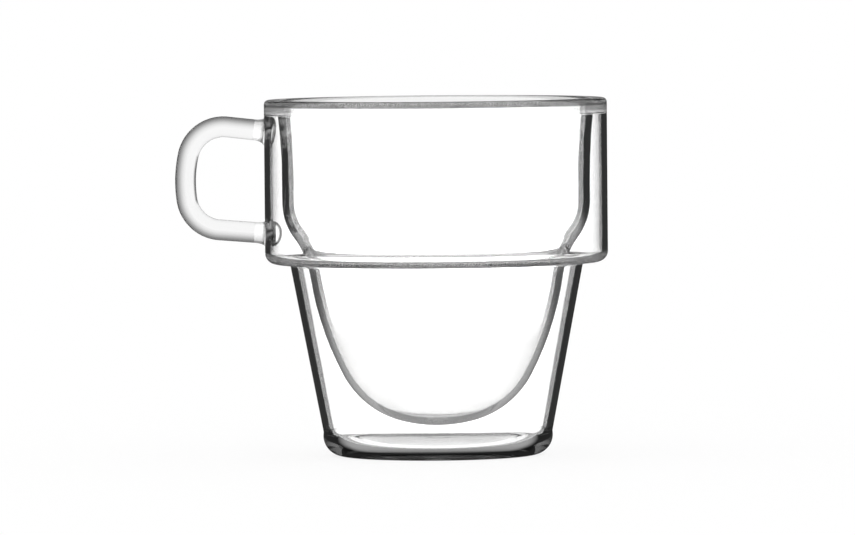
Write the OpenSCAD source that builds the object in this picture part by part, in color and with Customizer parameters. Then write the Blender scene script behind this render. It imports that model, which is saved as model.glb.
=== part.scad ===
// Double-walled cortado glass with a bent rod handle.
// All lengths are in millimetres and all angles in degrees.
// The cup stands on the plane z = 0 with its axis on Z, and the handle points along -X.
// Outlines are [radius, height] points, and headings turn counter-clockwise from +X.

/* [Body] */
// Height from the table to the top of the rim
cup_h = 79; // [75:0.5:95]
// Outer diameter of the upper body
body_d = 76; // [66:0.5:90]
// Wall of the upper body
shell_wall = 1.2; // [0.9:0.1:1.8]
// Height of the ledge's flat underside
ledge_z = 42.7; // [39:0.1:46]
// Width that the ledge steps in, from the upper body to the waist
ledge_w = 5.5; // [4:0.1:7]
// Outer rounding of the ledge
ledge_corner_r = 2.4; // [1.6:0.1:3.2]
// Inner rounding of the ledge, on the cavity side
ledge_inner_r = 1.1; // [0.5:0.1:2]
// Hollow rounding where the ledge's underside meets the waist
waist_fillet_r = 0.7; // [0.3:0.1:1.5]

/* [Lower body and foot] */
// Wall of the lower body and of the ledge
lower_wall = 1.4; // [1:0.1:2]
// Widest diameter of the foot
foot_d = 50.9; // [46:0.1:56]
// Outer rounding of the foot
foot_corner_r = 4.4; // [2.5:0.1:6]
// Rounding of the floor of the cavity
floor_corner_r = 3.5; // [1.5:0.1:5]
// Thickness of the base
base_t = 2.1; // [1.5:0.1:3]
// Diameter of the hollow under the base
recess_d = 38; // [30:0.5:40]
// Depth of the hollow under the base
recess_h = 0.6; // [0.4:0.1:1]
// Width of the bevel round the hollow
recess_bevel = 1; // [0.4:0.1:2]

/* [Inner bowl] */
// Wall of the bowl
bowl_wall = 1.4; // [1:0.1:2]
// Gap between the bowl and the upper body at the rim
cavity_gap = 1.9; // [1.6:0.1:2.6]
// Gap between the bottom of the bowl and the floor of the cavity
floor_gap = 4.6; // [2.5:0.1:7]
// Upright stretch of the bowl's upper wall
bowl_straight = 4.9; // [1:0.1:8]
// Bend of the bowl from the upright wall into its slope
bowl_shoulder_r = 13.4; // [8:0.1:17]
// Bend of the bowl from its slope into the side
bowl_neck_r = 19.1; // [12:0.1:24]
// Drop from the ledge to the end of that bend
bowl_neck_drop = 2.8; // [1:0.1:5]
// Bend of the bowl from the side into the bottom
bowl_knuckle_r = 20.3; // [15:0.1:24]

/* [Rim] */
// Height of the solid glass of the rim
rim_h = 3.4; // [2.4:0.1:5]
// Outer rounding of the rim
rim_outer_r = 1; // [0.5:0.1:1.6]
// Inner rounding of the rim
rim_inner_r = 1.2; // [0.5:0.1:1.6]
// Height of the vault where the rim closes the cavity
rim_vault = 0.4; // [0.2:0.1:0.8]

/* [Handle] */
// Diameter of the handle's rod
rod_d = 4.6; // [3.6:0.1:5.4]
// Straight stretch of the handle at its upper root
handle_arm = 8.2; // [5:0.1:12]
// Radius of the handle's upper bend
upper_bend_r = 8; // [5:0.1:10]
// Radius of the handle's lower bend
lower_bend_r = 7.9; // [5:0.1:10]
// Height of the lower root's centre over the ledge's underside
lower_root_lift = 6.8; // [5:0.1:9]
// Height left between the rim's solid glass and the upper root
upper_root_gap = 0.3; // [0.2:0.1:1]

/* [Roots of the handle] */
// Length of the flared neck outside the wall
neck_l = 2.3; // [1.2:0.1:3.5]
// Diameter of the upper root in the wall
upper_root_d = 6.2; // [5.6:0.1:7.4]
// Diameter of the lower root in the wall
lower_root_d = 5.6; // [5.6:0.1:7]
// Depth of the upper root's pad in the cavity
upper_pad_h = 1; // [0.4:0.1:1.2]
// Depth of the lower root's pad in the cavity
lower_pad_h = 2.2; // [1:0.1:2.6]

/* [Vent] */
// Diameter of the vent in the base
vent_d = 3; // [2:0.1:4]
// Diameter of the seal's head under the base
seal_d = 5.4; // [5:0.1:8]
// Height of the seal's head
seal_t = 0.35; // [0.2:0.05:0.4]

/* [Hidden] */
$fn = 128;
glass_tint = [0.82, 0.9, 0.91, 0.5];
rod_tint = [0.74, 0.86, 0.9, 0.6];
seal_tint = [0.9, 0.92, 0.9, 0.8];

// Steps along one bend of an outline
bend_steps = 12;
// How far a hole runs past the wall that it opens
overrun = 1;
// How far the shank of a root runs past the flat of the wall, so that its pad clears the wall's curve
curve_reach = 0.25;
// Length and height of the hair-thin sleeve over each seam between two stretches of the rod
seam_l = 0.2;
seam_step = 0.01;

// Upper body and rim
body_r = body_d / 2;
wall_in_r = body_r - shell_wall;
rim_base = cup_h - rim_h;

// Lower body: its wall is a straight cone from the waist to the toe of the foot
waist_r = body_r - ledge_w;
toe_deg = 10.5;
toe_centre = [foot_d / 2 - foot_corner_r, foot_corner_r];
toe = toe_centre + foot_corner_r * [cos(toe_deg), sin(toe_deg)];
lean = atan((waist_r - toe[0]) / (ledge_z - toe[1]));
function outer_cone_r(z) = waist_r - (ledge_z - z) * tan(lean);
function inner_cone_r(z) = outer_cone_r(z) - lower_wall / cos(lean);

// Headings of the bowl's outline on its way down from the rim to the axis
flare_deg = 6.3;
slope_deg = 36.2;
neck_deg = 8.4;
knuckle_deg = 27.8;
bottom_deg = 14.6;
down_deg = 270;
inward_deg = 180;

// A move along a heading, or round a bend of radius r that turns by t
function straight_end(p, h, l) = p + l * [cos(h), sin(h)];
function bend_end(p, h, r, t) = p + sign(t) * r * [sin(h + t) - sin(h), cos(h) - cos(h + t)];
// A path is a list of moves: [length, 0] runs straight and [radius, turn] bends
function move_end(p, h, m) = m[1] == 0 ? straight_end(p, h, m[0]) : bend_end(p, h, m[0], m[1]);
// Where the path stands after its first n moves, as [point, heading]
function stand(p, h, path, n) = n == 0 ? [p, h]
    : let (s = stand(p, h, path, n - 1), m = path[n - 1]) [move_end(s[0], s[1], m), s[1] + m[1]];
// Points along a path, without its end
function trace(p, h, path) = [
    for (i = [0 : len(path) - 1]) let (s = stand(p, h, path, i), m = path[i])
        each m[1] == 0 ? [s[0]]
            : [for (k = [0 : bend_steps - 1]) bend_end(s[0], s[1], m[0], m[1] * k / bend_steps)]
];
// The same path shifted by w to the right of its heading
function shifted(path, w) = [for (m = path) [m[0] + sign(m[1]) * w, m[1]]];
function right_of(p, h, w) = p + w * [sin(h), -cos(h)];
function reversed(points) = [for (i = [len(points) - 1 : -1 : 0]) points[i]];
// Points of an arc about a centre
function arc(centre, r, from, to) =
    [for (k = [0 : bend_steps]) let (a = from + (to - from) * k / bend_steps) centre + r * [cos(a), sin(a)]];

// Bowl: the flare's radius is set by the height that is left for it over the shoulder
bowl_top = [wall_in_r - cavity_gap, rim_base];
bowl_heading = down_deg - flare_deg;
bowl_bottom_z = base_t + floor_gap;
shoulder_drop = bowl_shoulder_r * sin(slope_deg);
neck_drop = bowl_neck_r * (sin(slope_deg) - sin(neck_deg));
neck_end_z = ledge_z - bowl_neck_drop;
flare_r = (rim_base - bowl_straight - shoulder_drop - neck_drop - neck_end_z) / sin(flare_deg);
upper_path = [[flare_r, flare_deg], [bowl_straight, 0], [bowl_shoulder_r, -slope_deg],
    [bowl_neck_r, slope_deg - neck_deg]];
neck_end = stand(bowl_top, bowl_heading, upper_path, len(upper_path))[0];
// The side's radius is set by the height that is left for it over the knuckle and the bottom
side_in = cos(neck_deg) - cos(knuckle_deg);
side_down = sin(knuckle_deg) - sin(neck_deg);
knuckle_in = bowl_knuckle_r * (cos(knuckle_deg) - sin(bottom_deg));
knuckle_down = bowl_knuckle_r * (cos(bottom_deg) - sin(knuckle_deg));
bottom_rate = tan(bottom_deg / 2);
side_r = (neck_end[1] - bowl_bottom_z - knuckle_down - bottom_rate * (neck_end[0] - knuckle_in))
    / (side_down - bottom_rate * side_in);
bottom_r = (neck_end[0] - knuckle_in - side_r * side_in) / sin(bottom_deg);
bowl_path = concat(upper_path, [[side_r, neck_deg - knuckle_deg],
    [bowl_knuckle_r, knuckle_deg + bottom_deg - (down_deg - inward_deg)], [bottom_r, -bottom_deg]]);
bowl_top_in = right_of(bowl_top, bowl_heading, bowl_wall);

// Handle: its path starts at the upper root and its grip's radius closes the loop at the lower root
rod_r = rod_d / 2;
rise_deg = 6.5;
upper_turn_deg = 84.2;
grip_turn_deg = 20.3;
lower_turn_deg = 77.4;
upper_root_r = upper_root_d / 2;
lower_root_r = lower_root_d / 2;
upper_root_p = [-body_r, rim_base - upper_root_gap - upper_root_r];
lower_root_p = [-body_r, ledge_z + lower_root_lift];
handle_heading = inward_deg - rise_deg;
end_heading = handle_heading + upper_turn_deg + grip_turn_deg + lower_turn_deg;
function handle_path(grip_r) =
    [[handle_arm, 0], [upper_bend_r, upper_turn_deg], [grip_r, grip_turn_deg], [lower_bend_r, lower_turn_deg]];
function handle_stand(grip_r, n) = stand(upper_root_p, handle_heading, handle_path(grip_r), n);
// Height at which the last straight stretch would meet the wall
function landing_z(grip_r) = let (p = handle_stand(grip_r, 4)[0]) p[1] + (-body_r - p[0]) * tan(end_heading);
unit_rise = landing_z(1) - landing_z(0);
grip_r = (lower_root_p[1] - landing_z(0)) / unit_rise;
last_bend_end = handle_stand(grip_r, 4)[0];
last_l = (-body_r - last_bend_end[0]) / cos(end_heading);
upper_weld_p = straight_end(upper_root_p, handle_heading, neck_l);
lower_weld_p = straight_end(lower_root_p, end_heading, -neck_l);

// Vent
vent_r = vent_d / 2;
seal_r = seal_d / 2;

module glass() {
    color(glass_tint) children();
}

// Stands what it holds on end at a point of the handle's plane, with +Z along the heading
module along(p, h) {
    translate([p[0], 0, p[1]]) rotate([0, down_deg - inward_deg - h, 0]) children();
}

// Solid of the whole outer shell before the holes for the roots are made
module shell_body() {
    fillet_centre = [outer_cone_r(ledge_z - waist_fillet_r) + waist_fillet_r / cos(lean),
        ledge_z - waist_fillet_r];
    ledge_top = ledge_z + lower_wall;
    floor_z = base_t + floor_corner_r;
    outside = concat(
        [[body_r, rim_base]],
        arc([body_r - ledge_corner_r, ledge_z + ledge_corner_r], ledge_corner_r, 0, -90),
        arc(fillet_centre, waist_fillet_r, 90, inward_deg - lean),
        arc(toe_centre, foot_corner_r, toe_deg, -90),
        [[recess_d / 2, 0], [recess_d / 2 - recess_bevel, recess_h], [vent_r, recess_h]]
    );
    inside = concat(
        [[vent_r, base_t]],
        arc([inner_cone_r(floor_z) - floor_corner_r / cos(lean), floor_z], floor_corner_r, -90, -lean),
        arc(fillet_centre, waist_fillet_r + lower_wall, inward_deg - lean, 90),
        arc([wall_in_r - ledge_inner_r, ledge_top + ledge_inner_r], ledge_inner_r, -90, 0),
        [[wall_in_r, rim_base]]
    );
    rotate_extrude() polygon(concat(outside, inside));
}

// Straight shank of a root, from inside its neck to past the wall
module root_hole(p, h, r) {
    along(p, h) translate([0, 0, neck_l / 2]) cylinder(r = r, h = neck_l / 2 + shell_wall + overrun);
}

// A root of the handle: a flared neck, a shank through the wall and a rounded pad in the cavity
module root(p, h, r, pad_h) {
    shank_end = neck_l + shell_wall + curve_reach;
    neck = [for (k = [0 : bend_steps]) let (a = 90 * k / bend_steps)
        [rod_r + (r - rod_r) * (1 - cos(a)), neck_l * sin(a)]];
    pad = [for (k = [0 : bend_steps - 1]) let (a = 90 * k / bend_steps)
        [r * cos(a), shank_end + pad_h * sin(a)]];
    along(p, h) rotate_extrude() polygon(concat([[0, 0]], neck, pad, [[0, shank_end + pad_h]]));
}

module rod_straight(p, h, l) {
    along(p, h) cylinder(r = rod_r, h = l);
}

module seam(s) {
    along(s[0], s[1]) cylinder(r = rod_r + seam_step, h = seam_l, center = true);
}

module rod_bend(s, r, turn) {
    centre = right_of(s[0], s[1], -r);
    translate([centre[0], 0, centre[1]]) rotate([90, 0, 0]) rotate([0, 0, s[1] - 90])
        rotate_extrude(angle = turn) translate([r, 0]) circle(r = rod_r);
}

module outer_shell() {
    glass() difference() {
        shell_body();
        root_hole(upper_weld_p, handle_heading - inward_deg, upper_root_r);
        root_hole(lower_weld_p, end_heading, lower_root_r);
    }
}

module inner_bowl() {
    outside = trace(bowl_top, bowl_heading, bowl_path);
    inside = trace(bowl_top_in, bowl_heading, shifted(bowl_path, bowl_wall));
    outline = concat(outside, [[0, bowl_bottom_z], [0, bowl_bottom_z + bowl_wall]], reversed(inside));
    glass() rotate_extrude() polygon(outline);
}

module rim_bead() {
    up = bowl_heading - inward_deg;
    inner_l = (cup_h - rim_inner_r * (1 - cos(up)) - bowl_top_in[1]) / sin(up);
    inner_path = [[inner_l, 0], [rim_inner_r, -up]];
    inner_end = stand(bowl_top_in, up, inner_path, len(inner_path))[0];
    vault_r = (pow(cavity_gap / 2, 2) + pow(rim_vault, 2)) / (2 * rim_vault);
    vault_centre = [wall_in_r - cavity_gap / 2, rim_base + rim_vault - vault_r];
    vault_deg = asin(cavity_gap / 2 / vault_r);
    outline = concat(
        trace(bowl_top_in, up, inner_path), [inner_end],
        arc([body_r - rim_outer_r, cup_h - rim_outer_r], rim_outer_r, 90, 0),
        [[body_r, rim_base]],
        arc(vault_centre, vault_r, 90 - vault_deg, 90 + vault_deg)
    );
    glass() rotate_extrude() polygon(outline);
}

module handle_rod() {
    path = handle_path(grip_r);
    color(rod_tint) {
        rod_straight(upper_weld_p, handle_heading, handle_arm - neck_l);
        for (i = [1 : 3]) {
            seam(handle_stand(grip_r, i));
            rod_bend(handle_stand(grip_r, i), path[i][0], path[i][1]);
        }
        seam(handle_stand(grip_r, 4));
        rod_straight(last_bend_end, end_heading, last_l - neck_l);
    }
}

module upper_root() {
    color(rod_tint) root(upper_weld_p, handle_heading - inward_deg, upper_root_r, upper_pad_h);
}

module lower_root() {
    color(rod_tint) root(lower_weld_p, end_heading, lower_root_r, lower_pad_h);
}

// Drop of glass that closes the vent, with a low domed head in the hollow under the base
module vent_seal() {
    head = [for (k = [0 : bend_steps - 1]) let (a = 90 * k / bend_steps)
        [seal_r * cos(a), recess_h - seal_t * sin(a)]];
    outline = concat([[0, base_t], [vent_r, base_t], [vent_r, recess_h]], head, [[0, recess_h - seal_t]]);
    color(seal_tint) rotate_extrude() polygon(outline);
}

outer_shell();
inner_bowl();
rim_bead();
handle_rod();
upper_root();
lower_root();
vent_seal();
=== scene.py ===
"""Looks of the double-walled cortado glass with a bent rod handle.

Every length is in metres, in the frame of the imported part: the cup stands on z = 0 with its axis on Z,
and the handle points along -X. An outline is a list of (radius, height) points.
"""
import math

import bmesh
import bpy
from mathutils import Matrix, Vector


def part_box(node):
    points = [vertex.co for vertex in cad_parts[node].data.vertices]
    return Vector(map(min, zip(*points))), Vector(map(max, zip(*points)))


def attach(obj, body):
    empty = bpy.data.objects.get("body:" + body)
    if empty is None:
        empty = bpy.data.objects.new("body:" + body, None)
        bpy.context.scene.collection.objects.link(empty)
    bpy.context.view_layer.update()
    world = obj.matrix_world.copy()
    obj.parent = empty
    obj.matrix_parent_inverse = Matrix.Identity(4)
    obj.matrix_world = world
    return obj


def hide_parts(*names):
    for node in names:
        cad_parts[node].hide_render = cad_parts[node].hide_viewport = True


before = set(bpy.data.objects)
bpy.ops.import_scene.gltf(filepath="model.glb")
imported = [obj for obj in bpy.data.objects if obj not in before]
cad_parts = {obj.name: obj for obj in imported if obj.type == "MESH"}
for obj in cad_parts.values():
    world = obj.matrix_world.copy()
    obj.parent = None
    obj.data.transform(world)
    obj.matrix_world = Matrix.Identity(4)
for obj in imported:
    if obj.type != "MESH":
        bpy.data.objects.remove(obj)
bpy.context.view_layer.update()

MM = 0.001

# How finely the meshes are cut
TURNS = 288            # faces round an outline of revolution
ARC_STEP = math.radians(3.0)
RIM_STEP = math.radians(4.0)
SEAL_STEP_DEG = 5
WALL_STEPS, CONE_STEPS, BASE_STEPS, RIM_STEPS, EDGE_STEPS, SEAL_STEPS = 24, 20, 10, 8, 4, 3
ROUND = 96             # faces round the handle's rod and its roots
ROD_STEP_DEG = 1.5
ARM_STEPS = 12
NECK_STEP_DEG, SHANK_STEPS, PAD_STEP_DEG = 6, 40, 5
SHARP_ANGLE = math.radians(25.0)
SAME_POINT = 1e8       # points of an outline are one where they agree in steps of 1 m / SAME_POINT

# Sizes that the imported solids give
_, SHELL_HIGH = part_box("outer_shell")
BOWL_LOW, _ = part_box("inner_bowl")
_, RIM_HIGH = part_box("rim_bead")
BODY_R = SHELL_HIGH[1]
RIM_BASE = SHELL_HIGH[2]
CUP_H = RIM_HIGH[2]
BOWL_BOTTOM_Z = BOWL_LOW[2]

# Shell
SHELL_WALL = 1.2 * MM
LOWER_WALL = 1.4 * MM
LEDGE_Z = 42.7 * MM
LEDGE_W = 5.5 * MM
LEDGE_CORNER_R = 2.4 * MM
LEDGE_INNER_R = 1.1 * MM
WAIST_FILLET_R = 0.7 * MM
FOOT_R = 25.45 * MM
FOOT_CORNER_R = 4.4 * MM
FLOOR_CORNER_R = 3.5 * MM
BASE_T = 2.1 * MM
RECESS_R = 19.0 * MM
RECESS_H = 0.6 * MM
RECESS_BEVEL = 1.0 * MM
VENT_R = 1.5 * MM
SEAL_R = 2.7 * MM
SEAL_T = 0.35 * MM
TOE_DEG = 10.5

# Bowl and rim
BOWL_WALL = 1.4 * MM
CAVITY_GAP = 1.9 * MM
BOWL_STRAIGHT = 4.9 * MM
BOWL_SHOULDER_R = 13.4 * MM
BOWL_NECK_R = 19.1 * MM
BOWL_NECK_DROP = 2.8 * MM
BOWL_KNUCKLE_R = 20.3 * MM
FLARE_DEG, SLOPE_DEG, NECK_DEG, KNUCKLE_DEG, BOTTOM_DEG = 6.3, 36.2, 8.4, 27.8, 14.6
RIM_OUTER_R = 1.0 * MM
RIM_INNER_R = 1.2 * MM
RIM_VAULT = 0.4 * MM

# Handle
ROD_R = 2.3 * MM
HANDLE_ARM = 8.2 * MM
UPPER_BEND_R = 8.0 * MM
LOWER_BEND_R = 7.9 * MM
LOWER_ROOT_LIFT = 6.8 * MM
UPPER_ROOT_GAP = 0.3 * MM
RISE_DEG, UPPER_TURN_DEG, GRIP_TURN_DEG, LOWER_TURN_DEG = 6.5, 84.2, 20.3, 77.4
NECK_L = 2.3 * MM
UPPER_ROOT_R = 3.1 * MM
LOWER_ROOT_R = 2.8 * MM
UPPER_PAD_H = 1.0 * MM
LOWER_PAD_H = 2.2 * MM
CURVE_REACH = 0.25 * MM    # what a shank needs more than the wall's thickness, as the wall is round


def sin_deg(a):
    return math.sin(math.radians(a))


def cos_deg(a):
    return math.cos(math.radians(a))


def unit(deg):
    return Vector((cos_deg(deg), sin_deg(deg)))


def straight_end(p, h, length):
    return p + length * unit(h)


def bend_end(p, h, r, turn):
    side = math.copysign(r, turn)
    a, b = math.radians(h), math.radians(h + turn)
    return p + side * Vector((math.sin(b) - math.sin(a), math.cos(a) - math.cos(b)))


def stands(p, h, path):
    """The point and heading before each move of a path, and after the last."""
    found = [(p, h)]
    for size, turn in path:
        p = bend_end(p, h, size, turn) if turn else straight_end(p, h, size)
        h += turn
        found.append((p, h))
    return found


def trace(p, h, path, step=ARC_STEP):
    """Points along a path with its end: [length, 0] runs straight and [radius, turn] bends."""
    points = []
    for (start, heading), (size, turn) in zip(stands(p, h, path), path):
        if not turn:
            points.append(start)
            continue
        n = max(2, math.ceil(abs(math.radians(turn)) / step))
        points += [bend_end(start, heading, size, turn * k / n) for k in range(n)]
    return points + [stands(p, h, path)[-1][0]]


def arc(centre, r, start, end):
    n = max(2, math.ceil(abs(math.radians(end - start)) / ARC_STEP))
    return [Vector(centre) + r * unit(start + (end - start) * k / n) for k in range(n + 1)]


def shifted(path, w):
    return [(size + math.copysign(w, turn), turn) if turn else (size, 0) for size, turn in path]


def right_of(p, h, w):
    return p + w * Vector((sin_deg(h), -cos_deg(h)))


def between(a, b, n):
    return [a.lerp(b, k / n) for k in range(n + 1)]


def joined(*parts):
    """One list of points from several that meet end to end."""
    points = list(parts[0])
    for part in parts[1:]:
        points += part[1:]
    return points


# Outlines of the solids, as stretches of points with the place of their material in the piece's list
CLEAR, JOINT, UPPER_INSIDE, LOWER_INSIDE, BOWL_INSIDE = range(5)
LIP = PAD = UPPER_INSIDE       # the third material of the rim and of the roots
LEDGE_INSIDE = BOWL_INSIDE     # the fifth material of the shell
WALL_IN_R = BODY_R - SHELL_WALL
WAIST_R = BODY_R - LEDGE_W
TOE_CENTRE = Vector((FOOT_R - FOOT_CORNER_R, FOOT_CORNER_R))
TOE = TOE_CENTRE + FOOT_CORNER_R * unit(TOE_DEG)
LEAN = math.atan((WAIST_R - TOE[0]) / (LEDGE_Z - TOE[1]))
LEAN_DEG = math.degrees(LEAN)


def outer_cone_r(z):
    return WAIST_R - (LEDGE_Z - z) * math.tan(LEAN)


def inner_cone_r(z):
    return outer_cone_r(z) - LOWER_WALL / math.cos(LEAN)


def bowl_moves():
    """Moves of the bowl's cavity side from the rim to the axis."""
    neck_end_z = LEDGE_Z - BOWL_NECK_DROP
    shoulder_drop = BOWL_SHOULDER_R * sin_deg(SLOPE_DEG)
    neck_drop = BOWL_NECK_R * (sin_deg(SLOPE_DEG) - sin_deg(NECK_DEG))
    flare_r = (RIM_BASE - BOWL_STRAIGHT - shoulder_drop - neck_drop - neck_end_z) / sin_deg(FLARE_DEG)
    upper = [(flare_r, FLARE_DEG), (BOWL_STRAIGHT, 0), (BOWL_SHOULDER_R, -SLOPE_DEG),
             (BOWL_NECK_R, SLOPE_DEG - NECK_DEG)]
    neck_end = stands(BOWL_TOP, BOWL_HEADING, upper)[-1][0]
    side_in = cos_deg(NECK_DEG) - cos_deg(KNUCKLE_DEG)
    side_down = sin_deg(KNUCKLE_DEG) - sin_deg(NECK_DEG)
    knuckle_in = BOWL_KNUCKLE_R * (cos_deg(KNUCKLE_DEG) - sin_deg(BOTTOM_DEG))
    knuckle_down = BOWL_KNUCKLE_R * (cos_deg(BOTTOM_DEG) - sin_deg(KNUCKLE_DEG))
    rate = math.tan(math.radians(BOTTOM_DEG / 2))
    side_r = ((neck_end[1] - BOWL_BOTTOM_Z - knuckle_down - rate * (neck_end[0] - knuckle_in))
              / (side_down - rate * side_in))
    bottom_r = (neck_end[0] - knuckle_in - side_r * side_in) / sin_deg(BOTTOM_DEG)
    return upper + [(side_r, NECK_DEG - KNUCKLE_DEG), (BOWL_KNUCKLE_R, KNUCKLE_DEG + BOTTOM_DEG - 90),
                    (bottom_r, -BOTTOM_DEG)]


BOWL_TOP = Vector((WALL_IN_R - CAVITY_GAP, RIM_BASE))
BOWL_HEADING = 270 - FLARE_DEG
BOWL_TOP_IN = right_of(BOWL_TOP, BOWL_HEADING, BOWL_WALL)


def shell_outline():
    """The shell's skin from the rim down and under the foot, through the vent and up the cavity."""
    fillet = Vector((outer_cone_r(LEDGE_Z - WAIST_FILLET_R) + WAIST_FILLET_R / math.cos(LEAN),
                     LEDGE_Z - WAIST_FILLET_R))
    ledge_top = LEDGE_Z + LOWER_WALL
    floor_z = BASE_T + FLOOR_CORNER_R
    corner = arc((BODY_R - LEDGE_CORNER_R, LEDGE_Z + LEDGE_CORNER_R), LEDGE_CORNER_R, 0, -90)
    waist = arc(fillet, WAIST_FILLET_R, 90, 180 - LEAN_DEG)
    toe = arc(TOE_CENTRE, FOOT_CORNER_R, TOE_DEG, -90)
    floor = arc((inner_cone_r(floor_z) - FLOOR_CORNER_R / math.cos(LEAN), floor_z), FLOOR_CORNER_R,
                -90, -LEAN_DEG)
    waist_in = arc(fillet, WAIST_FILLET_R + LOWER_WALL, 180 - LEAN_DEG, 90)
    ledge_in = arc((WALL_IN_R - LEDGE_INNER_R, ledge_top + LEDGE_INNER_R), LEDGE_INNER_R, -90, 0)
    outside = joined(between(Vector((BODY_R, RIM_BASE)), corner[0], WALL_STEPS), corner,
                     between(corner[-1], waist[0], EDGE_STEPS), waist,
                     between(waist[-1], toe[0], CONE_STEPS), toe,
                     between(toe[-1], Vector((RECESS_R, 0)), EDGE_STEPS))
    bevel = between(outside[-1], Vector((RECESS_R - RECESS_BEVEL, RECESS_H)), EDGE_STEPS)
    ceiling = between(bevel[-1], Vector((VENT_R, RECESS_H)), BASE_STEPS)
    vent = [ceiling[-1], Vector((VENT_R, BASE_T))]
    base = between(vent[-1], floor[0], BASE_STEPS)
    cone = joined(floor, between(floor[-1], waist_in[0], CONE_STEPS))
    ledge = joined(waist_in, between(waist_in[-1], ledge_in[0], EDGE_STEPS), ledge_in)
    wall = between(ledge_in[-1], Vector((WALL_IN_R, RIM_BASE)), WALL_STEPS)
    top = [wall[-1], outside[0]]
    return [(outside, CLEAR), (bevel, CLEAR), (ceiling, CLEAR), (vent, JOINT), (base, CLEAR),
            (cone, LOWER_INSIDE), (ledge, LEDGE_INSIDE), (wall, UPPER_INSIDE), (top, JOINT)]


def bowl_outline():
    moves = bowl_moves()
    outside = trace(BOWL_TOP, BOWL_HEADING, moves)
    inside = trace(BOWL_TOP_IN, BOWL_HEADING, shifted(moves, BOWL_WALL))
    for path in (outside, inside):
        path[-1] = Vector((0.0, path[-1][1]))
    return [(outside, CLEAR), (inside[::-1], BOWL_INSIDE), ([inside[0], outside[0]], JOINT)]


def rim_outline():
    up = BOWL_HEADING - 180
    straight = (CUP_H - RIM_INNER_R * (1 - cos_deg(up)) - BOWL_TOP_IN[1]) / sin_deg(up)
    inner = trace(BOWL_TOP_IN, up, [(straight, 0), (RIM_INNER_R, -up)], RIM_STEP)
    outer = arc((BODY_R - RIM_OUTER_R, CUP_H - RIM_OUTER_R), RIM_OUTER_R, 90, 0)
    vault_r = ((CAVITY_GAP / 2) ** 2 + RIM_VAULT ** 2) / (2 * RIM_VAULT)
    vault_deg = math.degrees(math.asin(CAVITY_GAP / 2 / vault_r))
    vault = arc((WALL_IN_R - CAVITY_GAP / 2, RIM_BASE + RIM_VAULT - vault_r), vault_r,
                90 - vault_deg, 90 + vault_deg)
    inside = joined(between(inner[0], inner[1], RIM_STEPS), inner[1:],
                    between(inner[-1], outer[0], RIM_STEPS))
    outside = joined(outer, between(outer[-1], Vector((BODY_R, RIM_BASE)), RIM_STEPS))
    return [(inside, CLEAR), (outside, LIP), ([outside[-1], *vault, inside[0]], JOINT)]


def seal_outline():
    head = [Vector((SEAL_R * cos_deg(a), RECESS_H - SEAL_T * sin_deg(a)))
            for a in range(0, 91, SEAL_STEP_DEG)]
    head[-1][0] = 0.0
    top = between(Vector((0.0, BASE_T)), Vector((VENT_R, BASE_T)), SEAL_STEPS)
    shank = [top[-1], Vector((VENT_R, RECESS_H))]
    return [(top, CLEAR), (shank, JOINT), ([shank[-1], head[0]], JOINT), (head, CLEAR)]


def lathe(name, outline):
    """A closed mesh of revolution whose stretches carry their materials."""
    bm = bmesh.new()
    rings = {}

    def ring(p):
        key = (round(p[0] * SAME_POINT), round(p[1] * SAME_POINT))
        if key not in rings:
            if key[0] <= 0:
                rings[key] = [bm.verts.new((0.0, 0.0, p[1]))] * TURNS
            else:
                rings[key] = [bm.verts.new((p[0] * math.cos(a), p[0] * math.sin(a), p[1]))
                              for a in (2 * math.pi * k / TURNS for k in range(TURNS))]
        return rings[key]

    for points, stuff in outline:
        for p, q in zip(points, points[1:]):
            a, b = ring(p), ring(q)
            for k in range(TURNS):
                n = (k + 1) % TURNS
                corners = list(dict.fromkeys((a[k], b[k], b[n], a[n])))
                if len(corners) > 2:
                    face = bm.faces.new(corners)
                    face.smooth = True
                    face.material_index = stuff
    return finished(name, bm)


def finished(name, bm):
    """The object of a bmesh, with outward faces and sharp edges at its corners and melted joints."""
    bmesh.ops.recalc_face_normals(bm, faces=bm.faces)
    for edge in bm.edges:
        if len(edge.link_faces) == 2:
            a, b = edge.link_faces
            melted = (a.material_index == JOINT) != (b.material_index == JOINT)
            if melted or edge.calc_face_angle(0.0) > SHARP_ANGLE:
                edge.smooth = False
    mesh = bpy.data.meshes.new(name)
    bm.to_mesh(mesh)
    bm.free()
    piece = bpy.data.objects.new(name, mesh)
    bpy.context.scene.collection.objects.link(piece)
    return piece


# Handle: the path of the rod's middle line in the plane of the handle, as (x, z) points
UPPER_ROOT_P = Vector((-BODY_R, RIM_BASE - UPPER_ROOT_GAP - UPPER_ROOT_R))
LOWER_ROOT_P = Vector((-BODY_R, LEDGE_Z + LOWER_ROOT_LIFT))
HANDLE_HEADING = 180 - RISE_DEG
END_HEADING = HANDLE_HEADING + UPPER_TURN_DEG + GRIP_TURN_DEG + LOWER_TURN_DEG


def handle_moves():
    """Moves of the rod between its two welds; the grip's radius closes the loop."""
    def bends(grip_r):
        return [(HANDLE_ARM, 0), (UPPER_BEND_R, UPPER_TURN_DEG), (grip_r, GRIP_TURN_DEG),
                (LOWER_BEND_R, LOWER_TURN_DEG)]

    def landing_z(grip_r):
        p = stands(UPPER_ROOT_P, HANDLE_HEADING, bends(grip_r))[-1][0]
        return p[1] + (-BODY_R - p[0]) * math.tan(math.radians(END_HEADING))

    rise = (landing_z(MM) - landing_z(0.0)) / MM
    grip_r = (LOWER_ROOT_P[1] - landing_z(0.0)) / rise
    moves = bends(grip_r)
    last = stands(UPPER_ROOT_P, HANDLE_HEADING, moves)[-1][0]
    last_l = (-BODY_R - last[0]) / cos_deg(END_HEADING)
    return [(HANDLE_ARM - NECK_L, 0)] + moves[1:] + [(last_l - NECK_L, 0)]


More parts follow.
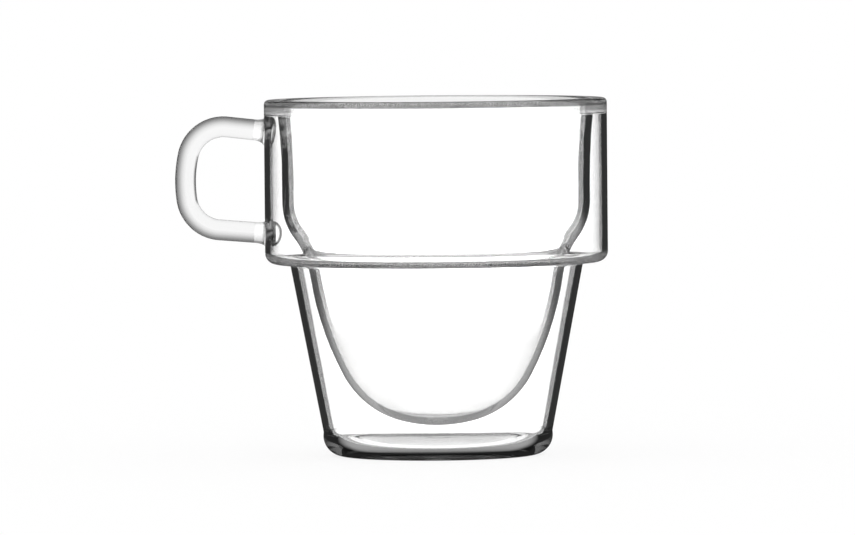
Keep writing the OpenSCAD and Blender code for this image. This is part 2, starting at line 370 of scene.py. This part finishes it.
# Attribute of the rod and the roots that masks their painted edge shade: 1 along the outside of the loop, 0
# or less inside it, -1 in the grip
OUTER_SIDE = "outer_side"
GRIP_DEG, GRIP_SPREAD = 272, 24    # the rod's heading at the grip, and how far to either side it reaches
CLEAR_SIDE = 0.1
UPPER_WELD_P = straight_end(UPPER_ROOT_P, HANDLE_HEADING, NECK_L)
LOWER_WELD_P = straight_end(LOWER_ROOT_P, END_HEADING, -NECK_L)


def in_plane(p, side=0.0):
    return Vector((p[0], side, p[1]))


def ring_about(bm, middle, heading, r):
    """A ring of vertices about a point of the handle's plane, square to the heading."""
    across, side = in_plane(unit(heading + 90)), Vector((0, 1, 0))
    return [bm.verts.new(middle + r * (math.cos(a) * across + math.sin(a) * side))
            for a in (2 * math.pi * k / ROUND for k in range(ROUND))]


def rod_places():
    """The points and headings along the rod's middle line where its rings stand."""
    moves = handle_moves()
    spots = stands(UPPER_WELD_P, HANDLE_HEADING, moves)
    places = []
    for (start, heading), (size, turn) in zip(spots, moves):
        n = math.ceil(abs(turn) / ROD_STEP_DEG) if turn else ARM_STEPS
        for k in range(n):
            t = k / n
            if turn:
                places.append((bend_end(start, heading, size, turn * t), heading + turn * t))
            else:
                places.append((straight_end(start, heading, size * t), heading))
    return places + [spots[-1]]


def rod_mesh(name):
    """The round rod swept along its path, closed by the two discs of its welds."""
    places = rod_places()
    bm = bmesh.new()
    outer = bm.verts.layers.float.new(OUTER_SIDE)
    rings = [ring_about(bm, in_plane(p), heading, ROD_R) for p, heading in places]
    for a, b in zip(rings, rings[1:]):
        for k in range(ROUND):
            n = (k + 1) % ROUND
            bm.faces.new((a[k], a[n], b[n], b[k])).smooth = True
    for ring in (rings[0], rings[-1]):
        face = bm.faces.new(ring)
        face.material_index = JOINT
    for ring, (_, heading) in zip(rings, places):
        grip = math.exp(-((heading - GRIP_DEG) / GRIP_SPREAD) ** 2)
        for k, vert in enumerate(ring):
            out = -math.cos(2 * math.pi * k / ROUND)
            vert[outer] = out if out > 0 else out * grip
    return finished(name, bm)


def root_profile(r, pad_h):
    """(radius, distance past the weld) points of a root: its flared neck, its shank and its pad."""
    shank_end = NECK_L + SHELL_WALL + CURVE_REACH
    neck = [(ROD_R + (r - ROD_R) * (1 - cos_deg(a)), NECK_L * sin_deg(a))
            for a in range(0, 91, NECK_STEP_DEG)]
    shank = [(r, NECK_L + (shank_end - NECK_L) * k / SHANK_STEPS) for k in range(1, SHANK_STEPS)]
    pad = [(r * cos_deg(a), shank_end + pad_h * sin_deg(a)) for a in range(0, 90, PAD_STEP_DEG)]
    return [(0.0, 0.0)] + neck + shank + pad + [(0.0, shank_end + pad_h)]


def root_mesh(name, p, heading, r, pad_h, outer_sign=0):
    """A root turned about its axis, whose skin inside the wall is the melted joint.

    outer_sign says which side of its neck is on the outside of the loop.
    """
    axis = in_plane(unit(heading))
    bm = bmesh.new()
    outer = bm.verts.layers.float.new(OUTER_SIDE)
    rings = []
    for radius, along in root_profile(r, pad_h):
        middle = in_plane(p) + along * axis
        if radius == 0.0:
            rings.append([bm.verts.new(middle)] * ROUND)
        else:
            rings.append(ring_about(bm, middle, heading, radius))
            for k, vert in enumerate(rings[-1]):
                out = outer_sign * math.cos(2 * math.pi * k / ROUND) if along < NECK_L else 0.0
                vert[outer] = out if out > 0 else -CLEAR_SIDE
    for i, (a, b) in enumerate(zip(rings, rings[1:])):
        for k in range(ROUND):
            n = (k + 1) % ROUND
            corners = list(dict.fromkeys((a[k], a[n], b[n], b[k])))
            face = bm.faces.new(corners)
            face.smooth = True
            middle = face.calc_center_median()
            out = math.hypot(middle[0], middle[1])
            face.material_index = JOINT if i == 0 or WALL_IN_R < out < BODY_R else CLEAR
            if out < WALL_IN_R:
                face.material_index = PAD
    return finished(name, bm)


def bored(piece, roots):
    """Opens the shell's wall where the roots pass through it."""
    for heading, p, r in roots:
        cutter = root_mesh("cutter", p, heading, r, NECK_L)
        for face in cutter.data.polygons:
            face.material_index = JOINT
        for stuff in SHELL_STUFF:
            cutter.data.materials.append(stuff)
        cut = piece.modifiers.new("bore", "BOOLEAN")
        cut.operation, cut.solver, cut.object = "DIFFERENCE", "EXACT", cutter
        cut.material_mode = "TRANSFER"
        graph = bpy.context.evaluated_depsgraph_get()
        mesh = bpy.data.meshes.new_from_object(piece.evaluated_get(graph))
        piece.modifiers.clear()
        piece.data = mesh
        bpy.data.objects.remove(cutter)
    return piece


# Materials
def material(name):
    mat = bpy.data.materials.new(name)
    mat.use_nodes = True
    mat.node_tree.nodes.clear()
    return mat, mat.node_tree.nodes, mat.node_tree.links


WHITE = (1.0, 1.0, 1.0, 1.0)
RIPPLE_DEPTH = 0.02 * MM
RIPPLE_SIZE = 9 * MM
PLAIN_SLANT = 0.5      # with this Blend, Facing of Layer Weight is one minus the cosine of the slant
GRIP_LINE = (0.28, 0.5)    # the grip's inner edge gets a line of painted shade between these shares of a full slant
GRIP_SIDE = (0.3, 0.8)     # and between these values of the attribute, taken the other way round


def glass(name, edge=None, side=None, band=None, low_edge=None, ior=1.47, alpha=1.0, tone=1.0):
    """Clear glass with the faint ripple of blown glass.

    edge is a ramp of (cosine of the view's angle, share let through) of painted shade for light that comes
    in from the air: it darkens the Base Color where the glass is seen at a slant, standing for the duller
    studio beside the backdrop that steep glass bends the view over to. side names an attribute, and the
    ramp then works only where it is not below zero, and on the grip's line. band is a pair of heights:
    below it the glass is clear or has the ramp low_edge, and edge comes in between the two. tone is the one
    grey of a glass without a ramp, and on the rim it is painted shade.
    """
    mat, nodes, links = material(name)
    out = nodes.new("ShaderNodeOutputMaterial")
    surface = nodes.new("ShaderNodeBsdfPrincipled")
    surface.inputs["Base Color"].default_value = (tone, tone, tone, 1.0)
    surface.inputs["Transmission Weight"].default_value = 1.0
    surface.inputs["Roughness"].default_value = 0.0
    surface.inputs["IOR"].default_value = ior
    surface.inputs["Alpha"].default_value = alpha
    if edge:
        links.new(painted_edge_shade(nodes, links, edge, side, band, low_edge), surface.inputs["Base Color"])
    place = nodes.new("ShaderNodeTexCoord")
    noise = nodes.new("ShaderNodeTexNoise")
    noise.inputs["Scale"].default_value = 1.0 / RIPPLE_SIZE
    noise.inputs["Detail"].default_value = 1.0
    bump = nodes.new("ShaderNodeBump")
    bump.inputs["Distance"].default_value = RIPPLE_DEPTH
    links.new(place.outputs["Object"], noise.inputs["Vector"])
    links.new(noise.outputs["Fac"], bump.inputs["Height"])
    links.new(bump.outputs["Normal"], surface.inputs["Normal"])
    links.new(surface.outputs["BSDF"], out.inputs["Surface"])
    return mat


def ramp_of(nodes, links, value, edge):
    """A ramp of painted shade over Facing. The shader uses the root of a colour at each surface, so the
    share is squared.
    """
    ramp = nodes.new("ShaderNodeValToRGB")
    links.new(value, ramp.inputs["Fac"])
    stops = sorted((1.0 - cosine, share ** 2) for cosine, share in edge)
    while len(ramp.color_ramp.elements) < len(stops):
        ramp.color_ramp.elements.new(0.5)
    for element, (place, share) in zip(ramp.color_ramp.elements, stops):
        element.position = place
        element.color = (share, share, share, 1.0)
    return ramp.outputs["Color"]


def painted_edge_shade(nodes, links, edge, side, band, low_edge):
    # Painted shade: the glass's Base Color is made darker where it is seen at a slant, on front faces only
    weight = nodes.new("ShaderNodeLayerWeight")
    weight.inputs["Blend"].default_value = PLAIN_SLANT
    painted_shade = ramp_of(nodes, links, weight.outputs["Facing"], edge)
    back = nodes.new("ShaderNodeNewGeometry").outputs["Backfacing"]
    clear = back
    if side:
        outer = nodes.new("ShaderNodeAttribute")
        outer.attribute_name = side
        inner = math_node(nodes, links, "LESS_THAN", outer.outputs["Fac"], 0.0)
        grip = math_node(nodes, links, "MULTIPLY", outer.outputs["Fac"], -1.0)
        line = smooth(nodes, links, weight.outputs["Facing"], *GRIP_LINE, 0.0, 1.0)
        line = math_node(nodes, links, "MULTIPLY", line, smooth(nodes, links, grip, *GRIP_SIDE, 0.0, 1.0))
        inner = math_node(nodes, links, "SUBTRACT", inner, line)
        clear = math_node(nodes, links, "MAXIMUM", back, inner)
    if band:
        place = nodes.new("ShaderNodeTexCoord")
        height = nodes.new("ShaderNodeSeparateXYZ")
        links.new(place.outputs["Object"], height.inputs[0])
        below = smooth(nodes, links, height.outputs["Z"], *band, 1.0, 0.0)
        low = ramp_of(nodes, links, weight.outputs["Facing"], low_edge) if low_edge else WHITE
        painted_shade = painted_shade_mix(nodes, links, below, painted_shade, low)
    return painted_shade_mix(nodes, links, clear, painted_shade, WHITE)


def painted_shade_mix(nodes, links, share, a, b):
    mix = nodes.new("ShaderNodeMix")
    mix.data_type = "RGBA"
    for socket, value in zip((mix.inputs[0], mix.inputs[6], mix.inputs[7]), (share, a, b)):
        if isinstance(value, tuple):
            socket.default_value = value
        else:
            links.new(value, socket)
    return mix.outputs[2]


def melted_joint():
    """Inside of a melted joint, where the glass runs on without a surface."""
    mat, nodes, links = material("melted_joint")
    out = nodes.new("ShaderNodeOutputMaterial")
    clear = nodes.new("ShaderNodeBsdfTransparent")
    links.new(clear.outputs["BSDF"], out.inputs["Surface"])
    return mat


def math_node(nodes, links, operation, a, b=None):
    node = nodes.new("ShaderNodeMath")
    node.operation = operation
    for socket, value in zip(node.inputs, (a, b)):
        if value is None:
            continue
        if isinstance(value, (int, float)):
            socket.default_value = value
        else:
            links.new(value, socket)
    return node.outputs[0]


# The studio's light depends on its path: on how many surfaces of glass it passed, which Transmission
# Depth counts, and on whether it was mirrored. The counts below are whole or halfway between two.
MIRRORED = 0.5         # mirrored at least once
CLEAR_GAIN = 1.17      # what a slanting passage through a surface loses to its reflection
ROD_LEVEL = 1.0
ROD_PASSES = 2.0       # a look through the rod alone
CUP_PASSES = 8.0       # a look through all the walls of the cup


def studio_level(nodes, links, mirror):
    """Level of the surroundings: white to the camera and through the glass, mirror where mirrored."""
    path = nodes.new("ShaderNodeLightPath")
    passed = path.outputs["Transmission Depth"]
    gain = math_node(nodes, links, "POWER", CLEAR_GAIN, passed)
    past_cup = math_node(nodes, links, "MODULO", passed, CUP_PASSES)
    rod = math_node(nodes, links, "COMPARE", past_cup, ROD_PASSES)
    clear = blend(nodes, links, rod, gain, ROD_LEVEL)
    mirrored = math_node(nodes, links, "GREATER_THAN", path.outputs["Glossy Depth"], MIRRORED)
    return blend(nodes, links, mirrored, clear, mirror)


def smooth(nodes, links, value, low, high, a, b):
    """Runs smoothly from a to b as the value goes from low to high."""
    step = nodes.new("ShaderNodeMapRange")
    step.interpolation_type = "SMOOTHSTEP"
    for socket, number in zip(step.inputs[:5], (value, low, high, a, b)):
        if isinstance(number, float):
            socket.default_value = number
        else:
            links.new(number, socket)
    return step.outputs[0]


def blend(nodes, links, share, a, b):
    mix = nodes.new("ShaderNodeMix")
    for socket, value in zip(mix.inputs[:1] + mix.inputs[2:4], (share, a, b)):
        if isinstance(value, float):
            socket.default_value = value
        else:
            links.new(value, socket)
    return mix.outputs[0]


WALL_LEVEL = 0.5           # what the glass mirrors from the studio's walls
BODY_WALL_LEVEL = 0.18     # and through the outer body alone
CEILING_LEVEL = 0.004      # what it mirrors from the ceiling
CEILING_PALE = 0.9         # and behind several surfaces
CEILING_RISE = (0.12, 0.3)     # the ceiling begins between these heights of a ray's unit direction
BODY_PASSES = 3.5          # fewer than this: through the outer body alone
DEEP_PASSES = 6.5          # more than this: behind several surfaces


def surroundings():
    """The studio round the floor: pale walls and a ceiling that only mirrored light sees."""
    world = bpy.data.worlds.new("studio")
    bpy.context.scene.world = world
    world.use_nodes = True
    nodes, links = world.node_tree.nodes, world.node_tree.links
    nodes.clear()
    out = nodes.new("ShaderNodeOutputWorld")
    light = nodes.new("ShaderNodeBackground")
    light.inputs["Color"].default_value = WHITE
    way = nodes.new("ShaderNodeTexCoord")
    split = nodes.new("ShaderNodeSeparateXYZ")
    links.new(way.outputs["Generated"], split.inputs[0])
    passed = nodes.new("ShaderNodeLightPath").outputs["Transmission Depth"]
    body = math_node(nodes, links, "LESS_THAN", passed, BODY_PASSES)
    high = smooth(nodes, links, split.outputs["Z"], *CEILING_RISE, 0.0, 1.0)
    deep = math_node(nodes, links, "GREATER_THAN", passed, DEEP_PASSES)
    ceiling = blend(nodes, links, deep, CEILING_LEVEL, CEILING_PALE)
    walls = blend(nodes, links, body, WALL_LEVEL, BODY_WALL_LEVEL)
    mirror = blend(nodes, links, high, walls, ceiling)
    links.new(studio_level(nodes, links, mirror), light.inputs["Strength"])
    links.new(light.outputs["Background"], out.inputs["Surface"])


FLOOR_SIZE = 40.0
SHADOW = 0.12              # share of the floor's white that takes the object's shadow
FAR_LEVEL = 0.03           # what the glass mirrors from the floor far off
NEAR_LEVEL = 0.42          # and from the floor close by
BODY_NEAR_LEVEL = 0.14     # and from there through the outer body alone
SLOPES = (0.09, 0.26)      # cosines of the ray to the floor's normal, far off and close by
SHELL_SHARE = 0.65         # the outer body's own mirroring stays dark over a taller stretch
FOOT_PAINTED_SHADE = 0.004         # painted shade: what the base mirrors from the floor round the foot
SKIN_PAINTED_SHADE = 0.015         # and the foot's own skin
FOOT_SHADE_R = (26 * MM, 36 * MM)
FOOT_PALE = 0.4            # the painted shade is paler where a steep ray comes down near the foot's edge
FOOT_SLOPES = (0.38, 0.6)
FOOT_PALE_R = (18.5 * MM, 24 * MM)
PAINTED_SHADOW_UNDER_FOOT = 0.65         # painted shadow: share of light left on the floor under the foot
UNDER_R = (14 * MM, 25 * MM)
IN_AT_MOST_ONCE = 1.5      # fewer passages than this: the light hasn't left the first glass again
IN_AND_OUT = 2.0
IN_TWICE = 3.0


def floor():
    """The pale floor, white to the camera and to what the glass lets through, with a faint shadow."""
    bpy.ops.mesh.primitive_plane_add(size=FLOOR_SIZE)
    plane = bpy.context.object
    plane.name = "floor"
    mat, nodes, links = material("pale_floor")
    out = nodes.new("ShaderNodeOutputMaterial")
    light = nodes.new("ShaderNodeEmission")
    links.new(floor_level(nodes, links), light.inputs["Strength"])
    paint = nodes.new("ShaderNodeBsdfDiffuse")
    paint.inputs["Color"].default_value = WHITE
    both = nodes.new("ShaderNodeMixShader")
    seen = nodes.new("ShaderNodeLightPath").outputs["Is Camera Ray"]
    links.new(math_node(nodes, links, "MULTIPLY", seen, SHADOW), both.inputs["Fac"])
    links.new(light.outputs["Emission"], both.inputs[1])
    links.new(paint.outputs["BSDF"], both.inputs[2])
    links.new(both.outputs["Shader"], out.inputs["Surface"])
    plane.data.materials.append(mat)


def floor_level(nodes, links):
    """Level of the floor, with what the glass mirrors from it dull far off and paler close by.

    Right under the foot the floor carries a painted shadow, and what the base and the foot's skin mirror
    from it is painted nearly black.
    """
    slope = nodes.new("ShaderNodeLayerWeight")
    slope.inputs["Blend"].default_value = PLAIN_SLANT
    slant = math_node(nodes, links, "SUBTRACT", 1.0, slope.outputs["Facing"])
    path = nodes.new("ShaderNodeLightPath")
    passed = path.outputs["Transmission Depth"]
    body = math_node(nodes, links, "LESS_THAN", passed, IN_TWICE)
    fall = math_node(nodes, links, "MULTIPLY", slant, blend(nodes, links, body, 1.0, SHELL_SHARE))
    near = blend(nodes, links, body, NEAR_LEVEL, BODY_NEAR_LEVEL)
    level = studio_level(nodes, links, smooth(nodes, links, fall, *SLOPES, FAR_LEVEL, near))
    place = nodes.new("ShaderNodeTexCoord")
    out = nodes.new("ShaderNodeVectorMath")
    out.operation = "LENGTH"
    links.new(place.outputs["Object"], out.inputs[0])
    reach = out.outputs["Value"]
    bounced = math_node(nodes, links, "GREATER_THAN", path.outputs["Glossy Depth"], MIRRORED)
    touching = math_node(nodes, links, "MAXIMUM",
                         math_node(nodes, links, "LESS_THAN", passed, IN_AT_MOST_ONCE),
                         math_node(nodes, links, "COMPARE", passed, IN_TWICE))
    skin = math_node(nodes, links, "MULTIPLY", bounced, touching)
    inside = math_node(nodes, links, "MAXIMUM", skin,
                       math_node(nodes, links, "COMPARE", passed, IN_AND_OUT))
    # painted shade: near the foot, what the base and the foot's skin mirror from the floor is set nearly
    # black
    foot = math_node(nodes, links, "MULTIPLY", inside,
                     smooth(nodes, links, reach, *FOOT_SHADE_R, 1.0, 0.0))
    # painted shadow: the floor's light is cut under the foot by distance from the axis
    under = smooth(nodes, links, reach, *UNDER_R, PAINTED_SHADOW_UNDER_FOOT, 1.0)
    level = math_node(nodes, links, "MULTIPLY", level, under)
    steep = smooth(nodes, links, slant, *FOOT_SLOPES, 0.0, FOOT_PALE)
    pale = math_node(nodes, links, "MULTIPLY", steep, smooth(nodes, links, reach, *FOOT_PALE_R, 0.0, 1.0))
    painted_foot_shade = blend(nodes, links, skin, math_node(nodes, links, "ADD", pale, FOOT_PAINTED_SHADE), SKIN_PAINTED_SHADE)
    return blend(nodes, links, foot, level, painted_foot_shade)


# Camera: the eye stands 1.8 m from the axis and 115 mm above the table, and the frame is 855 by 535
PIXEL = 0.22157 * MM
FRAME_WIDE, FRAME_HIGH = 855, 535
AXIS_COLUMN, TABLE_ROW = 436.7, 455.1
EYE_FAR = 8146 * PIXEL
EYE_HIGH = 519 * PIXEL
AIM = Vector(((FRAME_WIDE / 2 - AXIS_COLUMN) * PIXEL, 0.0, (TABLE_ROW - FRAME_HIGH / 2) * PIXEL))
ROLL_DEG = 0.5
SENSOR = 36.0
CLIP = (0.05, 100.0)


def camera():
    data = bpy.data.cameras.new("camera")
    data.sensor_width = SENSOR
    data.lens = SENSOR * EYE_FAR / (FRAME_WIDE * PIXEL)
    data.clip_start, data.clip_end = CLIP
    eye = bpy.data.objects.new("camera", data)
    bpy.context.scene.collection.objects.link(eye)
    eye.location = Vector((AIM[0], -EYE_FAR, EYE_HIGH))
    look = (AIM - eye.location).to_track_quat("-Z", "Y")
    eye.rotation_euler = (look.to_matrix() @ Matrix.Rotation(math.radians(-ROLL_DEG), 3, "Z")).to_euler()
    bpy.context.scene.camera = eye


# Ramps of painted shade on the steep glass: (cosine of the view's angle, share let through)
UPPER_EDGE_SHADE = [(0.1, 1.0), (0.17, 0.6), (0.2, 1.0)]
LOWER_EDGE_SHADE = [(0.1, 1.0), (0.17, 0.58), (0.26, 0.34), (0.29, 1.0)]
BOWL_EDGE_SHADE = [(0.1, 0.95), (0.17, 0.46), (0.25, 0.28), (0.28, 1.0)]
ROD_EDGE_SHADE = [(1.0, 0.96), (0.977, 0.87), (0.95, 0.80), (0.915, 0.71), (0.866, 0.60), (0.80, 0.47),
            (0.72, 0.39), (0.61, 0.27), (0.466, 0.24), (0.3, 0.2)]
LOW_BOWL_EDGE_SHADE = [(0.0, 1.0), (0.1, 0.95), (0.2, 0.6), (0.3, 0.5), (0.45, 0.43), (0.6, 0.41), (0.8, 0.42),
                 (1.0, 0.6)]
LIP_EDGE_SHADE = [(0.0, 0.5), (0.4, 0.3), (0.9, 0.1), (1.0, 0.06)]
PAD_EDGE_SHADE = [(0.0, 0.1), (0.5, 0.2), (0.72, 0.85), (1.0, 1.0)]

BOWL_BLEND = (25 * MM, 38 * MM)    # heights between which the bowl's two ramps blend
LIP_SHADE_BAND = 1.5 * MM                # height of the lip's band of painted shade
LIP_BLUR = 0.2 * MM
# painted shade: the rim's glass is made a flat grey all over
RIM_PAINTED_SHADE = 0.73
ROOT_IOR = 1.25                    # the melted roots bend the view less than a clean edge would
RIM_ALPHA, LIP_ALPHA, LEDGE_ALPHA, ROOT_ALPHA, PAD_ALPHA = 0.75, 0.85, 0.94, 0.6, 0.9

JOINT_STUFF = melted_joint()
SHELL_STUFF = [glass("shell_clear"), JOINT_STUFF, glass("shell_upper_wall", UPPER_EDGE_SHADE),
               glass("shell_lower_wall", LOWER_EDGE_SHADE), glass("shell_ledge", alpha=LEDGE_ALPHA)]
BOWL_STUFF = [glass("bowl_clear"), JOINT_STUFF, SHELL_STUFF[UPPER_INSIDE], SHELL_STUFF[LOWER_INSIDE],
              glass("bowl_inside", BOWL_EDGE_SHADE, band=BOWL_BLEND, low_edge=LOW_BOWL_EDGE_SHADE)]
RIM_STUFF = [glass("rim_clear", alpha=RIM_ALPHA, tone=RIM_PAINTED_SHADE), JOINT_STUFF,
             glass("rim_lip", LIP_EDGE_SHADE, band=(CUP_H - LIP_SHADE_BAND - LIP_BLUR, CUP_H - LIP_SHADE_BAND + LIP_BLUR),
                   alpha=LIP_ALPHA)]
SEAL_STUFF = [glass("seal_clear"), JOINT_STUFF]
ROD_STUFF = [glass("handle_clear", ROD_EDGE_SHADE, OUTER_SIDE), JOINT_STUFF]
ROOT_STUFF = [glass("root_clear", ROD_EDGE_SHADE, OUTER_SIDE, ior=ROOT_IOR, alpha=ROOT_ALPHA), JOINT_STUFF,
              glass("root_pad", PAD_EDGE_SHADE, ior=ROOT_IOR, alpha=PAD_ALPHA)]


def placed(piece, stuff, node):
    """Gives a piece its materials, and puts it in the place of its solid."""
    if not piece.data.materials:
        for mat in stuff:
            piece.data.materials.append(mat)
    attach(piece, "root")
    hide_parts(node)


def build():
    """All seven pieces, each from the sizes above."""
    upper = (HANDLE_HEADING - 180, UPPER_WELD_P, UPPER_ROOT_R)
    lower = (END_HEADING, LOWER_WELD_P, LOWER_ROOT_R)
    shell = lathe("shell_glass_body", shell_outline())
    for mat in SHELL_STUFF:
        shell.data.materials.append(mat)
    placed(bored(shell, [upper, lower]), SHELL_STUFF, "outer_shell")
    placed(lathe("bowl_glass_body", bowl_outline()), BOWL_STUFF, "inner_bowl")
    placed(lathe("rim_glass_ring", rim_outline()), RIM_STUFF, "rim_bead")
    placed(lathe("vent_seal_drop", seal_outline()), SEAL_STUFF, "vent_seal")
    placed(rod_mesh("handle_glass_rod"), ROD_STUFF, "handle_rod")
    placed(root_mesh("upper_root_glass", UPPER_WELD_P, HANDLE_HEADING - 180, UPPER_ROOT_R, UPPER_PAD_H, 1),
           ROOT_STUFF, "upper_root")
    placed(root_mesh("lower_root_glass", LOWER_WELD_P, END_HEADING, LOWER_ROOT_R, LOWER_PAD_H, -1),
           ROOT_STUFF, "lower_root")


BOUNCES = 48           # light that runs on inside the walls is followed to its end
JOINT_BOUNCES = 64


def view_settings():
    scene = bpy.context.scene
    scene.view_settings.view_transform = "Standard"
    scene.cycles.max_bounces = BOUNCES
    scene.cycles.transmission_bounces = BOUNCES
    scene.cycles.glossy_bounces = BOUNCES
    scene.cycles.transparent_max_bounces = JOINT_BOUNCES


build()
surroundings()
floor()
camera()
view_settings()
